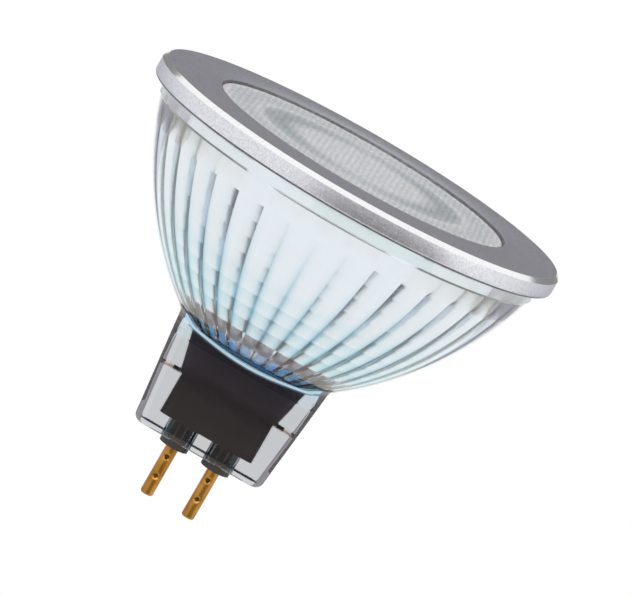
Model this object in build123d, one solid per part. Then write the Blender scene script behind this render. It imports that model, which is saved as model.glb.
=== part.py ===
from build123d import *
import os
from math import asin, cos, hypot, pi, sin, sqrt

# LED spotlight bulb: a pressed glass reflector with a two-pin stem, a trim ring, a lens and a driver.
# Millimetres. The origin is midway between the two pins on the base plane, where the dark collars
# end; +Z runs up the optical axis to the lens, and the pins stand side by side along X.

# Contact pins: a thinner tail goes up through the collar, and two dents are pressed into the front
pin_spacing = 5.33
pin_radius = 0.765
pin_tail_radius = 0.65
pin_reach = 6.3
pin_overlap = 1.9
pin_tip_round = 0.25
dent_radius = 0.5
dent_depth = 0.2
dent_places = (0.21, 0.61)

# Collars of the driver housing, which carry the pins through the foot of the stem
collar_radius = 1.75
collar_drop = 1.2
collar_clearance = 0.1

# What is soldered to the driver board; each size is (width, thickness, height) as it stands
rectifier_size = (3.9, 1.6, 2.0)
inductor_size = (3.7, 2.2, 2.9)
chip_size = (3.0, 0.7, 1.7)
ceramic_size = (2.0, 0.75, 1.3)
resistor_size = (1.6, 0.5, 0.8)
resistor_count = 3
leg_pairs = 2
leg_width = 0.5
leg_thickness = 0.2
leg_foot = 0.45
drum_share = 0.55
part_gap = 0.5
part_edge = 0.12
capacitor_radius = 2.5
capacitor_height = 5.4
capacitor_groove = 0.25
capacitor_edge = 0.3
capacitor_leg_radius = 0.3
capacitor_leg_spacing = 2.0
capacitor_leg_overlap = 1.8
capacitor_seat_gap = 0.3
capacitor_headroom = 0.45
capacitor_side_room = 0.3
lead_radius = 0.55
lead_spacing = 8.0
lead_overlap = 2.0
lead_stub = 0.5
lead_clearance = 0.2

# Driver board and the housing round it
board_thickness = 1.0
board_floor_gap = 0.5
board_side_room = 0.58
board_back_room = 1.2
housing_clearance = 0.12
housing_wall = 0.7
housing_floor = 1.0
lid_thickness = 0.9
lid_wall = 0.6
lid_plug = 1.0
lid_fit = 0.05
lid_side_room = 0.5
lid_corner = 1.2

# Glass stem and its pocket, with a small ledge part of the way up
stem_height = 11.95
stem_floor = 2.25
stem_side_wall = 3.4
stem_face_wall = 1.8
stem_draft = 0.105
stem_face_draft = 0.05
stem_corner = 1.4
stem_foot_round = 0.8
junction_round = 0.5
pocket_corner = 1.2
ledge_height = 5.0
ledge_width = 0.25
funnel_flare = 0.24
funnel_face_flare = 0.04
funnel_run_out = 2.5

# Snap lugs on the housing's sides, which click into notches in the glass at the ledge
notch_depth = 1.7
notch_width = 2.6
notch_height = 0.55
lug_clearance = 0.1
lug_reach = 1.1

# Glass bowl, an arc in section, and its rim
floor_rise = 0.95
bowl_floor_wall = 2.25
bowl_height = 20.3
bowl_mouth_radius = 23.55
bowl_arc_radius = 39.28
glass_wall = 2.2
rim_flange = 0.3
rim_step = 0.3
rim_height = 2.6
rim_wall = 1.3
lens_rebate = 1.0
lens_ledge = 1.3

# Flutes pressed into the inside of the bowl, each one a rib made of a stack of flat facets
flute_count = 38
flute_rows = 10
flute_depth = 0.26
flute_top_drop = 2.9
flute_run_out = 1.3

# Trim ring and the adhesive under it
ring_skirt = 1.3
ring_face_width = 7.35
ring_height = 2.45
ring_plate = 1.0
ring_clearance = 0.2
ring_top_bevel = 0.5
ring_foot_round = 0.45
ring_opening_break = 0.12
adhesive_thickness = 0.25
adhesive_margin = 0.1

# Front lens: a plate with a collimator cone under it
lens_recess = 0.3
lens_clearance = 0.1
lens_play = 0.05
collimator_top_radius = 12.2
collimator_bulge = 1.1
well_radius = 3.6
well_wall = 1.1
well_height = 3.4
well_crown = 0.9
lens_foot_gap = 0.9

# Heat sink, an aluminium cup that lines the bowl, and the insulating ring that it stands on
sink_base = 2.0
sink_wall = 1.0
sink_rim_drop = 3.2
sink_clearance = 0.4
gasket_clearance = 0.15

# Light source on its board, with a pad under it and two screws through it
pad_thickness = 0.3
pad_margin = 0.3
led_board_radius = 8.0
led_board_thickness = 1.2
led_size = 5.0
led_corner = 0.4
led_thickness = 0.7
led_dome_radius = 2.1
led_dome_height = 0.6
screw_edge = 1.8
screw_radius = 0.8
screw_clearance = 0.15
screw_head_radius = 1.5
screw_head_height = 1.0
screw_slot = 0.4
screw_engagement = 1.5

# Plan sizes that follow from what is held inside
board_width = rectifier_size[0] + inductor_size[0] + 3 * part_gap
board_face_y = pin_tail_radius
board_back_y = board_face_y + board_thickness
pocket_width = board_width + 2 * (board_side_room + housing_wall + housing_clearance)
pocket_depth = 2 * (board_back_y + board_back_room + housing_wall + housing_clearance)
stem_width = pocket_width + 2 * stem_side_wall
stem_depth = pocket_depth + 2 * stem_face_wall
lid_width = board_width + 2 * (lid_side_room + lid_wall)
lid_depth = 2 * (capacitor_radius + capacitor_side_room + lid_wall)
lid_reach = hypot(lid_width / 2 - lid_corner, lid_depth / 2 - lid_corner) + lid_corner
neck_radius = stem_width / 2
rim_radius = bowl_mouth_radius + rim_flange
rebate_radius = rim_radius - rim_wall
skirt_radius = rim_radius + ring_clearance
ring_radius = skirt_radius + ring_skirt
ring_opening = ring_radius - ring_face_width
screw_circle = led_board_radius - screw_edge

# Heights of the glass and the ring above the base plane, from the foot up
stem_foot_z = collar_drop
pocket_floor_z = stem_foot_z + stem_floor
ledge_z = pocket_floor_z + ledge_height
bowl_floor_z = stem_foot_z + stem_height
neck_z = bowl_floor_z + floor_rise
brim_z = neck_z + bowl_height
rim_z = brim_z + rim_step
rim_top_z = rim_z + rim_height
lens_seat_z = rim_top_z - lens_rebate
flute_top_z = lens_seat_z - flute_top_drop - flute_run_out
flute_end_z = flute_top_z + flute_run_out
cavity_floor_z = bowl_floor_z + bowl_floor_wall
plate_z = rim_top_z + adhesive_thickness
ring_top_z = plate_z + ring_plate
ring_foot_z = ring_top_z - ring_height

# Heights of the driver and the light source, stacked on the pocket's floor
board_low_z = pocket_floor_z + housing_floor + board_floor_gap
pin_top_z = board_low_z + pin_overlap
row_z = pin_top_z + part_gap
row_height = max(rectifier_size[2] + 2 * leg_foot, inductor_size[2])
board_top_z = row_z + row_height + part_gap + lead_overlap
can_low_z = board_top_z + capacitor_seat_gap
can_top_z = can_low_z + capacitor_height
housing_top_z = cavity_floor_z
lid_top_z = can_top_z + capacitor_headroom + lid_thickness
sink_rim_z = lens_seat_z - sink_rim_drop
sink_floor_z = lid_top_z + sink_base
pad_top_z = sink_floor_z + pad_thickness
led_board_top_z = pad_top_z + led_board_thickness
led_top_z = led_board_top_z + led_thickness
lens_foot_z = led_top_z + lens_foot_gap

# The bowl's arc runs from the neck to the mouth, and its centre lies beyond the axis
chord_run = bowl_mouth_radius - neck_radius
chord = hypot(chord_run, bowl_height)
arc_offset = sqrt(bowl_arc_radius ** 2 - (chord / 2) ** 2)
arc_r = (bowl_mouth_radius + neck_radius) / 2 - arc_offset * bowl_height / chord
arc_z = (brim_z + neck_z) / 2 + arc_offset * chord_run / chord
inner_arc_radius = bowl_arc_radius - glass_wall
sink_arc_radius = inner_arc_radius - flute_depth / 2 - sink_clearance
sink_inner_arc_radius = sink_arc_radius - sink_wall

# The heat sink reaches down to where it just clears the lid, and the gasket fills the rest
gasket_bore = lid_reach + gasket_clearance
gasket_top_z = arc_z - sqrt(sink_inner_arc_radius ** 2 - (gasket_bore - arc_r) ** 2)


def arc_reach(arc_radius, z):
    """Distance from the axis, at a height, of an arc drawn about the centre of the bowl's arc."""
    return arc_r + sqrt(arc_radius ** 2 - (z - arc_z) ** 2)


def bowl_arc(arc_radius, low_z, high_z):
    """Stretch of such an arc between two heights."""
    ends = [(arc_reach(arc_radius, z), 0, z) for z in (low_z, high_z)]
    middle_z = arc_z - arc_radius * sin(
        (asin((arc_z - low_z) / arc_radius) + asin((arc_z - high_z) / arc_radius)) / 2)
    return ThreePointArc(ends[0], (arc_reach(arc_radius, middle_z), 0, middle_z), ends[1])


def inner_radius(z):
    """Radius of the bowl's inside at a height, midway between flute crowns and grooves."""
    return arc_reach(inner_arc_radius, z)


def turned(*outline):
    """Turn a closed outline of (radius, height) corners about the axis."""
    return revolve(make_face(Polyline(*[(r, 0, z) for r, z in outline], close=True)), Axis.Z)


def upright(radius, low, high):
    """Round bar along the axis between two heights."""
    return Pos(0, 0, low) * Cylinder(radius, high - low, align=(Align.CENTER, Align.CENTER, Align.MIN))


def rounded_block(width, depth, corner, low, high, flare_x=0, flare_y=0):
    """Upright block with rounded corners whose walls lean out by the flares, per mm of height."""
    rise = high - low
    foot = Pos(0, 0, low) * RectangleRounded(width, depth, corner)
    head = Pos(0, 0, high) * RectangleRounded(
        width + 2 * flare_x * rise, depth + 2 * flare_y * rise, corner)
    return loft([foot, head], ruled=True)


def cap_arc(radius, edge_z, crown_z):
    """Arc of a spherical cap, from its edge to its crown on the axis."""
    rise = crown_z - edge_z
    sphere = (radius ** 2 + rise ** 2) / (2 * rise)
    half_turn = asin(radius / abs(sphere)) / 2
    middle = (abs(sphere) * sin(half_turn), 0, crown_z - sphere * (1 - cos(half_turn)))
    return ThreePointArc((radius, 0, edge_z), middle, (0, 0, crown_z))


def at_pins():
    return [Pos(side * pin_spacing / 2, 0, 0) for side in (-1, 1)]


def at_leads():
    return [Pos(side * lead_spacing / 2, board_face_y - lead_radius, 0) for side in (-1, 1)]


def at_screws():
    return [Pos(0, side * screw_circle, 0) for side in (-1, 1)]


def flute_section(z, radius, depth):
    """Outline of all the flutes at one height: grooves, with three flats bowed inwards between."""
    groove = radius + depth / 2
    crown = radius - depth / 2
    pitch = 2 * pi / flute_count
    corners = []
    for flute in range(flute_count):
        start = flute * pitch - pi / 2
        for share, reach in ((0, groove), (1 / 3, crown), (2 / 3, crown)):
            angle = start + share * pitch
            corners.append((reach * cos(angle), reach * sin(angle), z))
    return Face(Wire(Polyline(*corners, close=True)))


def fluted_cavity():
    """Inside of the bowl as far up as the flutes go; in a last row they run out into the band."""
    low = asin((arc_z - cavity_floor_z) / inner_arc_radius)
    high = asin((arc_z - flute_top_z) / inner_arc_radius)
    sections = []
    for row in range(flute_rows + 1):
        z = arc_z - inner_arc_radius * sin(low + (high - low) * row / flute_rows)
        sections.append(flute_section(z, inner_radius(z), flute_depth))
    sections.append(flute_section(flute_end_z, inner_radius(flute_top_z) + flute_depth, 0))
    return loft(sections, ruled=True)


def mouth_cavity():
    """Plain inside of the mouth, above the flutes, and the rebate that the lens drops into."""
    low_radius = inner_radius(flute_top_z) + flute_depth / 2
    mouth_radius = rebate_radius - lens_ledge
    return turned((0, flute_end_z), (low_radius, flute_end_z), (mouth_radius, lens_seat_z),
                  (rebate_radius, lens_seat_z), (rebate_radius, plate_z), (0, plate_z))


def bowl_blank():
    """Outside of the bowl: rim collar, a small step, the arc and a shallow cone into the stem."""
    neck = (neck_radius, 0, neck_z)
    mouth = (bowl_mouth_radius, 0, brim_z)
    apex_z = bowl_floor_z - floor_rise * stem_depth / 2 / (neck_radius - stem_depth / 2)
    corner_reach = hypot(stem_width / 2 - stem_corner, stem_depth / 2 - stem_corner) + stem_corner
    skirt_end = corner_reach + 3 * junction_round
    skirt_end_z = arc_z - sqrt(bowl_arc_radius ** 2 - (skirt_end - arc_r) ** 2)
    outline = Curve() + [
        Polyline((0, 0, rim_top_z), (0, 0, apex_z), neck, (skirt_end, 0, skirt_end_z)),
        bowl_arc(bowl_arc_radius, skirt_end_z, brim_z),
        Polyline(mouth, (rim_radius, 0, rim_z), (rim_radius, 0, rim_top_z), (0, 0, rim_top_z)),
    ]
    return revolve(make_face(outline), Axis.Z)


def stem_blank():
    """Outside of the stem, drafted for the mould, with a rounded foot; it runs up into the bowl."""
    drafted = bowl_floor_z - stem_foot_z
    foot_width = stem_width - 2 * stem_draft * drafted
    foot_depth = stem_depth - 2 * stem_face_draft * drafted
    block = rounded_block(foot_width, foot_depth, stem_corner, stem_foot_z, cavity_floor_z,
                          stem_draft, stem_face_draft)
    return fillet(block.faces().sort_by(Axis.Z)[0].edges(), stem_foot_round)


def funnel(inset, low, high):
    """Flared upper part of the pocket between two heights, inset by a clearance or a wall."""
    above = low - ledge_z
    width = pocket_width + 2 * (ledge_width - inset + funnel_flare * above)
    depth = pocket_depth + 2 * (funnel_face_flare * above - inset)
    return rounded_block(width, depth, pocket_corner - inset, low, high,
                         funnel_flare, funnel_face_flare)


def pocket(inset, floor_z, top_z):
    """The stem's pocket: a straight well up to the ledge, and the funnel above it."""
    well = rounded_block(pocket_width - 2 * inset, pocket_depth - 2 * inset, pocket_corner - inset,
                         floor_z, ledge_z)
    return well + funnel(inset, ledge_z, top_z)


def side_bar(reach, margin):
    """Bar across the pocket at its ledge that stands out at both sides: the notches, or the lugs."""
    return Pos(0, 0, ledge_z) * Box(
        pocket_width + 2 * reach, notch_width - 2 * margin, notch_height - 2 * margin)


def glass_reflector():
    """One pressing: bowl and stem meet in a round; inside are the flutes, pocket and pin holes."""
    bowl, stem = bowl_blank(), stem_blank()
    glass = bowl + stem
    glass = fillet(new_edges(bowl, stem, combined=glass), junction_round)
    glass -= fluted_cavity() + mouth_cavity()
    glass -= pocket(0, pocket_floor_z, cavity_floor_z + funnel_run_out) + side_bar(notch_depth, 0)
    for place in at_pins():
        glass -= place * upright(collar_radius + collar_clearance, 0, pocket_floor_z)
    return glass


def trim_ring():
    """Turned ring: a face plate round the lens and a skirt over the glass rim."""
    ring = turned((ring_opening, plate_z), (ring_opening, ring_top_z), (ring_radius, ring_top_z),
                  (ring_radius, ring_foot_z), (skirt_radius, ring_foot_z), (skirt_radius, plate_z))
    top_edges = ring.edges().group_by(Axis.Z)[-1].sort_by(SortBy.RADIUS)
    ring = chamfer(top_edges[-1], ring_top_bevel)
    foot_edges = ring.edges().group_by(Axis.Z)[0].sort_by(SortBy.RADIUS)
    ring = fillet(foot_edges[-1], ring_foot_round)
    top_edges = ring.edges().group_by(Axis.Z)[-1].sort_by(SortBy.RADIUS)
    return chamfer(top_edges[0], ring_opening_break)


def rim_adhesive():
    """Bead of clear silicone between the glass rim and the ring's face plate."""
    inner = rebate_radius + adhesive_margin
    outer = rim_radius - adhesive_margin
    return turned((inner, rim_top_z), (outer, rim_top_z), (outer, plate_z), (inner, plate_z))


def front_lens():
    """Moulded lens: a stepped plate held under the ring, and a collimator over the light source."""
    flange_radius = rebate_radius - lens_clearance
    flange_top_z = plate_z - lens_play
    face_radius = ring_opening - lens_clearance
    face_z = ring_top_z - lens_recess
    well_top_z = lens_foot_z + well_height
    foot = (well_radius + well_wall, 0, lens_foot_z)
    shoulder = (collimator_top_radius, 0, lens_seat_z)
    run, rise = shoulder[0] - foot[0], shoulder[2] - foot[2]
    slant = hypot(run, rise)
    bulge = ((foot[0] + shoulder[0]) / 2 + collimator_bulge * rise / slant, 0,
             (foot[2] + shoulder[2]) / 2 - collimator_bulge * run / slant)
    outline = Curve() + [
        Polyline((well_radius, 0, well_top_z), (well_radius, 0, lens_foot_z), foot),
        ThreePointArc(foot, bulge, shoulder),
        Polyline(shoulder, (flange_radius, 0, lens_seat_z), (flange_radius, 0, flange_top_z),
                 (face_radius, 0, flange_top_z), (face_radius, 0, face_z), (0, 0, face_z),
                 (0, 0, well_top_z - well_crown)),
        cap_arc(well_radius, well_top_z, well_top_z - well_crown),
    ]
    return revolve(make_face(outline), Axis.Z)


def base_gasket():
    """Blue insulating ring on the bowl's floor and the housing's edge; the heat sink stands on it."""
    crown_gap = flute_depth / 2 + gasket_clearance
    foot_radius = inner_radius(cavity_floor_z) - crown_gap
    top_radius = inner_radius(gasket_top_z) - crown_gap
    return turned((gasket_bore, cavity_floor_z), (foot_radius, cavity_floor_z),
                  (top_radius, gasket_top_z), (gasket_bore, gasket_top_z))


def heat_sink():
    """Spun aluminium cup that lines the bowl at a small gap, with a floor part of the way up."""
    outer = bowl_arc(sink_arc_radius, gasket_top_z, sink_rim_z)
    inner = bowl_arc(sink_inner_arc_radius, gasket_top_z, sink_rim_z)
    outline = Curve() + [outer, Line(outer @ 1, inner @ 1), inner, Line(inner @ 0, outer @ 0)]
    wall_middle = (sink_arc_radius + sink_inner_arc_radius) / 2
    cup = revolve(make_face(outline), Axis.Z)
    cup += turned((0, lid_top_z), (arc_reach(wall_middle, lid_top_z), lid_top_z),
                  (arc_reach(wall_middle, sink_floor_z), sink_floor_z), (0, sink_floor_z))
    for place in at_leads():
        cup -= place * upright(lead_radius + lead_clearance, lid_top_z, sink_floor_z)
    for place in at_screws():
        cup -= place * upright(screw_radius, lid_top_z, sink_floor_z)
    return cup


def drilled_disc(radius, low, high, lead_hole):
    """Round sheet under the light source, with holes for the two leads and the two screws."""
    disc = upright(radius, low, high)
    for place in at_leads():
        disc -= place * upright(lead_hole, low, high)
    for place in at_screws():
        disc -= place * upright(screw_radius + screw_clearance, low, high)
    return disc


def thermal_pad():
    """Soft pad that takes the heat from the board into the cup."""
    return drilled_disc(led_board_radius - pad_margin, sink_floor_z, pad_top_z,
                        lead_radius + lead_clearance)


def led_board():
    """Aluminium-backed board; the leads end in its two plated holes."""
    return drilled_disc(led_board_radius, pad_top_z, led_board_top_z, lead_radius)


def led_package():
    """Square light source with a shallow clear dome."""
    body = rounded_block(led_size, led_size, led_corner, led_board_top_z, led_top_z)
    dome_top_z = led_top_z + led_dome_height
    outline = Curve() + [
        Polyline((0, 0, dome_top_z), (0, 0, led_top_z), (led_dome_radius, 0, led_top_z)),
        cap_arc(led_dome_radius, led_top_z, dome_top_z),
    ]
    return body + revolve(make_face(outline), Axis.Z)


def board_screws():
    """Two slotted screws that hold the light source's board down on the heat sink."""
    head_top_z = led_board_top_z + screw_head_height
    shank = upright(screw_radius, sink_floor_z - screw_engagement, led_board_top_z)
    head = upright(screw_head_radius, led_board_top_z, head_top_z)
    slot = Pos(0, 0, head_top_z) * Box(2 * screw_head_radius, screw_slot, screw_head_height)
    return Compound(children=[place * (shank + head - slot) for place in at_screws()])


def driver_housing():
    """Dark box that fills the pocket: a lug at each side, two collars down through the glass foot."""
    housing = pocket(housing_clearance, pocket_floor_z, housing_top_z)
    housing += side_bar(lug_reach, lug_clearance)
    housing -= pocket(housing_clearance + housing_wall, pocket_floor_z + housing_floor, housing_top_z)
    for place in at_pins():
        housing += place * upright(collar_radius, 0, pocket_floor_z)
    for place in at_pins():
        housing -= place * upright(pin_tail_radius, 0, pocket_floor_z + housing_floor)
    return housing


def housing_lid():
    """Cap over the capacitor: a plug that drops into the housing, and a hollow box on top of it."""
    plug_z = housing_top_z - lid_plug
    plug = funnel(housing_clearance + housing_wall + lid_fit, plug_z, housing_top_z)
    lid = plug + rounded_block(lid_width, lid_depth, lid_corner, housing_top_z, lid_top_z)
    lid -= rounded_block(lid_width - 2 * lid_wall, lid_depth - 2 * lid_wall, lid_corner - lid_wall,
                         plug_z, lid_top_z - lid_thickness)
    for place in at_leads():
        lid -= place * upright(lead_radius + lead_clearance, plug_z, lid_top_z)
    return lid


def driver_board():
    """Circuit board that stands upright against the tails of the two pins."""
    height = board_top_z - board_low_z
    return Pos(0, board_face_y, board_low_z) * Box(
        board_width, board_thickness, height, align=(Align.CENTER, Align.MIN, Align.MIN))


def block_on_face(size):
    """Block that stands on the board's front face at the origin, towards -Y, with eased edges."""
    block = Box(*size, align=(Align.CENTER, Align.MAX, Align.MIN))
    return chamfer(block.faces().sort_by(Axis.Y)[0].edges(), part_edge)


def legged_block(size):
    """Moulded block on bent legs, which stand out above and below it along the board."""
    width, thickness, height = size
    body = Pos(0, -leg_thickness / 2, leg_foot) * block_on_face(size)
    legs = []
    for pair in range(leg_pairs):
        x = width * ((pair + 0.5) / leg_pairs - 0.5)
        for side, edge_z in ((-1, leg_foot), (1, leg_foot + height)):
            foot = Pos(x, 0, edge_z + side * leg_foot / 2) * Box(
                leg_width, leg_thickness, leg_foot, align=(Align.CENTER, Align.MAX, Align.CENTER))
            rise = Pos(x, 0, edge_z + side * leg_thickness / 2) * Box(
                leg_width, thickness / 2, leg_thickness, align=(Align.CENTER, Align.MAX, Align.CENTER))
            legs += [foot, rise]
    return body + legs


def bridge_rectifier():
    x = -(board_width - rectifier_size[0]) / 2 + part_gap
    return Pos(x, board_face_y, row_z) * legged_block(rectifier_size)


def power_inductor():
    """Drum core: two square flanges on a round waist that carries the winding."""
    width, thickness, height = inductor_size
    flange = thickness * (1 - drum_share) / 2
    x = (board_width - width) / 2 - part_gap
    drum_radius = (min(width, height) - flange) / 2
    base = Box(width, flange, height, align=(Align.CENTER, Align.MAX, Align.CENTER))
    top = Pos(0, flange - thickness, 0) * base
    drum = Rot(90, 0, 0) * upright(drum_radius, 0, thickness)
    return Pos(x, board_face_y, row_z + height / 2) * (base + drum + top)


def on_back(x, z):
    """Place and turn for a part on the back of the driver board."""
    return Pos(x, board_back_y, z) * Rot(0, 0, 180)


def controller_chip():
    x = -board_width / 2 + part_gap + chip_size[0] / 2
    return on_back(x, row_z) * legged_block(chip_size)


def ceramic_capacitor():
    x = board_width / 2 - part_gap - ceramic_size[0] / 2
    return on_back(x, row_z) * block_on_face(ceramic_size)


def sense_resistors():
    """Row of chip resistors above the controller."""
    z = row_z + chip_size[2] + 2 * leg_foot + part_gap
    step = resistor_size[0] + part_gap
    places = [(index - (resistor_count - 1) / 2) * step for index in range(resistor_count)]
    return Compound(children=[on_back(x, z) * block_on_face(resistor_size) for x in places])


def smoothing_capacitor():
    """Upright can above the board's edge, on two legs soldered to the board's face."""
    groove_z = can_low_z + 3 * capacitor_groove
    waist = capacitor_radius - capacitor_groove
    can = turned((0, can_low_z), (capacitor_radius, can_low_z), (capacitor_radius, groove_z),
                 (waist, groove_z + capacitor_groove), (capacitor_radius, groove_z + 2 * capacitor_groove),
                 (capacitor_radius, can_top_z - capacitor_edge),
                 (capacitor_radius - capacitor_edge, can_top_z), (0, can_top_z))
    for side in (-1, 1):
        leg = upright(capacitor_leg_radius, board_top_z - capacitor_leg_overlap, can_low_z)
        can += Pos(side * capacitor_leg_spacing / 2, board_face_y - capacitor_leg_radius, 0) * leg
    return can


def lead(place):
    """Insulated wire from the driver board's face up into the light source's board."""
    return place * upright(lead_radius, board_top_z - lead_overlap, led_board_top_z + lead_stub)


def contact_pin(place):
    """Round pin with a rounded tip and two dents in its front, shouldered against the collar."""
    pin = upright(pin_radius, -pin_reach, 0)
    pin = fillet(pin.edges().group_by(Axis.Z)[0], pin_tip_round)
    pin += upright(pin_tail_radius, 0, pin_top_z)
    dent = Rot(0, 90, 0) * Cylinder(dent_radius, 2 * pin_radius)
    for share in dent_places:
        pin -= Pos(0, dent_depth - pin_radius - dent_radius, -share * pin_reach) * dent
    return place * pin


left, right = 0, 1
nodes = {
    "glass_reflector": glass_reflector(),
    "trim_ring": trim_ring(),
    "rim_adhesive": rim_adhesive(),
    "front_lens": front_lens(),
    "base_gasket": base_gasket(),
    "heat_sink": heat_sink(),
    "thermal_pad": thermal_pad(),
    "led_board": led_board(),
    "led_package": led_package(),
    "board_screws": board_screws(),
    "driver_housing": driver_housing(),
    "housing_lid": housing_lid(),
    "driver_board": driver_board(),
    "bridge_rectifier": bridge_rectifier(),
    "power_inductor": power_inductor(),
    "controller_chip": controller_chip(),
    "ceramic_capacitor": ceramic_capacitor(),
    "sense_resistors": sense_resistors(),
    "smoothing_capacitor": smoothing_capacitor(),
    "positive_lead": lead(at_leads()[right]),
    "negative_lead": lead(at_leads()[left]),
    "contact_pin_left": contact_pin(at_pins()[left]),
    "contact_pin_right": contact_pin(at_pins()[right]),
}

os.makedirs("parts", exist_ok=True)
for name, solid in nodes.items():
    export_step(solid, f"parts/{name}.step")
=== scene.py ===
import math

import bmesh
import bpy
from mathutils import Matrix, Vector


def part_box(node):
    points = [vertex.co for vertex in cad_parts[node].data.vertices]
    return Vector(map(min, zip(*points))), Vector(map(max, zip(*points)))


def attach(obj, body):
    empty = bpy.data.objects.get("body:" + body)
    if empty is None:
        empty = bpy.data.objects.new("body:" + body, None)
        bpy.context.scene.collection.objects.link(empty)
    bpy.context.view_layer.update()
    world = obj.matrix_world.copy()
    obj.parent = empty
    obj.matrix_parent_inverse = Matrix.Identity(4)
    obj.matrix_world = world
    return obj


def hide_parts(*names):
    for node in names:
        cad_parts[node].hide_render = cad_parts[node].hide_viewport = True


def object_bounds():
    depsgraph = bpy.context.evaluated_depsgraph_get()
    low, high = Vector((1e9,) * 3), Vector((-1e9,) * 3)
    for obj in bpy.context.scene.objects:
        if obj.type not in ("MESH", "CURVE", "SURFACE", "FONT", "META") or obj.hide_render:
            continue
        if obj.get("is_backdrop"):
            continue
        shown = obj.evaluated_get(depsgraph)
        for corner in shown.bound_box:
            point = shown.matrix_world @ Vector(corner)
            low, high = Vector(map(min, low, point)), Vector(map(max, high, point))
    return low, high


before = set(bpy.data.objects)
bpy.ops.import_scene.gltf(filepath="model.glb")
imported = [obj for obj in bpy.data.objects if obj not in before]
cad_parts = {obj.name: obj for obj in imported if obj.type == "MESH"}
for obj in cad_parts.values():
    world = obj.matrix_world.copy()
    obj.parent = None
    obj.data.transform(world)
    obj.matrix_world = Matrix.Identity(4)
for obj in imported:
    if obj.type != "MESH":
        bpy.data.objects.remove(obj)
cad_low, cad_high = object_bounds()

# Reflector: one pressing of clear soda glass, bowl, rim and two-pin stem together.
# The mould leaves flutes inside the bowl, each one a stack of small facets under an arched top,
# and a smooth fire-polished skin outside, where the stem runs into the bowl in a small round.

MM = 0.001
glass_low, glass_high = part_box("glass_reflector")
rim_radius = glass_high.x
rim_top = glass_high.z
stem_foot = glass_low.z
rim_height = 2.6 * MM
rim_step = 0.3 * MM
mouth_radius = 23.55 * MM
mouth_z = rim_top - rim_height - rim_step
bowl_height = 20.3 * MM
bowl_arc = 39.28 * MM
bowl_arc_steps = 30
glass_wall = 2.2 * MM
neck_radius = 9.35 * MM
neck_z = mouth_z - bowl_height
floor_rise = 0.95 * MM
bowl_floor = neck_z - floor_rise
cavity_floor = bowl_floor + 2.25 * MM
lens_seat = rim_top - 1.0 * MM
rebate_radius = rim_radius - 1.3 * MM
lens_ledge = 1.3 * MM
flutes = 38
flute_rows = 10
flute_steps = 6
flute_depth = 0.26 * MM
flute_top = lens_seat - 4.2 * MM
arch_foot = flute_top + 0.1 * MM
arch_rise = 1.5 * MM
coat_top = lens_seat - 0.1 * MM
bare_foot = 2.2 * MM
stem_width = 18.7 * MM
stem_depth = 10.94 * MM
stem_draft = 0.105
stem_face_draft = 0.05
stem_corner = 1.4 * MM
stem_foot_round = 0.8 * MM
stem_top_cuts = 24
junction_round = 0.5 * MM
junction_sink = 0.02 * MM
junction_cap = 0.8 * MM
cap_inset = 0.7 * junction_round
round_steps = 6
pocket_width = 11.9 * MM
pocket_depth = 7.34 * MM
pocket_corner = 1.2 * MM
pocket_floor = stem_foot + 2.25 * MM
pocket_ledge = pocket_floor + 5.0 * MM
pocket_top = cavity_floor + 2.5 * MM
ledge_width = 0.25 * MM
funnel_flare = 0.24
funnel_face_flare = 0.04
pin_spacing = 5.33 * MM
pin_hole_radius = 1.85 * MM
pin_hole_steps = 48
corner_steps = 6
foot_steps = 5
notch_depth = 1.7 * MM
notch_width = 2.6 * MM
notch_height = 0.55 * MM
notch_corner = 0.1 * MM
open_end = 1.0 * MM
weld = 0.001 * MM
touch = 0.01 * MM


def start_line(mesh, radius, z):
    """First point of a profile in the XZ plane."""
    return bmesh.ops.create_vert(mesh, co=(radius, 0, z))["vert"][0]


def line_to(mesh, tip, radius, z):
    """Straight stretch of a profile from its last point."""
    tip = bmesh.ops.extrude_vert_indiv(mesh, verts=[tip])["verts"][0]
    tip.co = (radius, 0, z)
    return tip


def arc_to(mesh, tip, radius, z, arc_radius, steps):
    """Round stretch of a profile, bulging away from the axis, from its last point."""
    start, end = tip.co.copy(), Vector((radius, 0, z))
    chord = end - start
    across = Vector((-chord.z, 0, chord.x)).normalized()
    centre = (start + end) / 2 + across * math.sqrt(arc_radius ** 2 - (chord.length / 2) ** 2)
    turn = math.atan2(end.x - centre.x, end.z - centre.z)
    turn -= math.atan2(start.x - centre.x, start.z - centre.z)
    made = bmesh.ops.spin(mesh, geom=[tip], cent=centre, axis=(0, 1, 0), angle=turn, steps=steps)
    return [g for g in made["geom_last"] if isinstance(g, bmesh.types.BMVert)][0]


def turn_round(mesh, steps):
    """Full turn of the profile about the axis, closed at its seam and poles."""
    bmesh.ops.spin(mesh, geom=mesh.verts[:] + mesh.edges[:], cent=(0, 0, 0), axis=(0, 0, 1),
                   angle=2 * math.pi, steps=steps, use_merge=True)
    bmesh.ops.remove_doubles(mesh, verts=mesh.verts[:], dist=weld)
    bmesh.ops.recalc_face_normals(mesh, faces=mesh.faces[:])


def crease(mesh, degrees):
    """Smooth shading everywhere but along edges sharper than an angle."""
    for face in mesh.faces:
        face.smooth = True
    for edge in mesh.edges:
        if not edge.is_manifold or edge.calc_face_angle(0) > math.radians(degrees):
            edge.smooth = False


def in_order(elements, key):
    """Numbers a mesh's points, edges or faces by a key, so that each run lists them alike."""
    rank = {element: place for place, element in enumerate(sorted(elements, key=key))}
    elements.sort(key=rank.get)
    elements.index_update()


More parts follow.
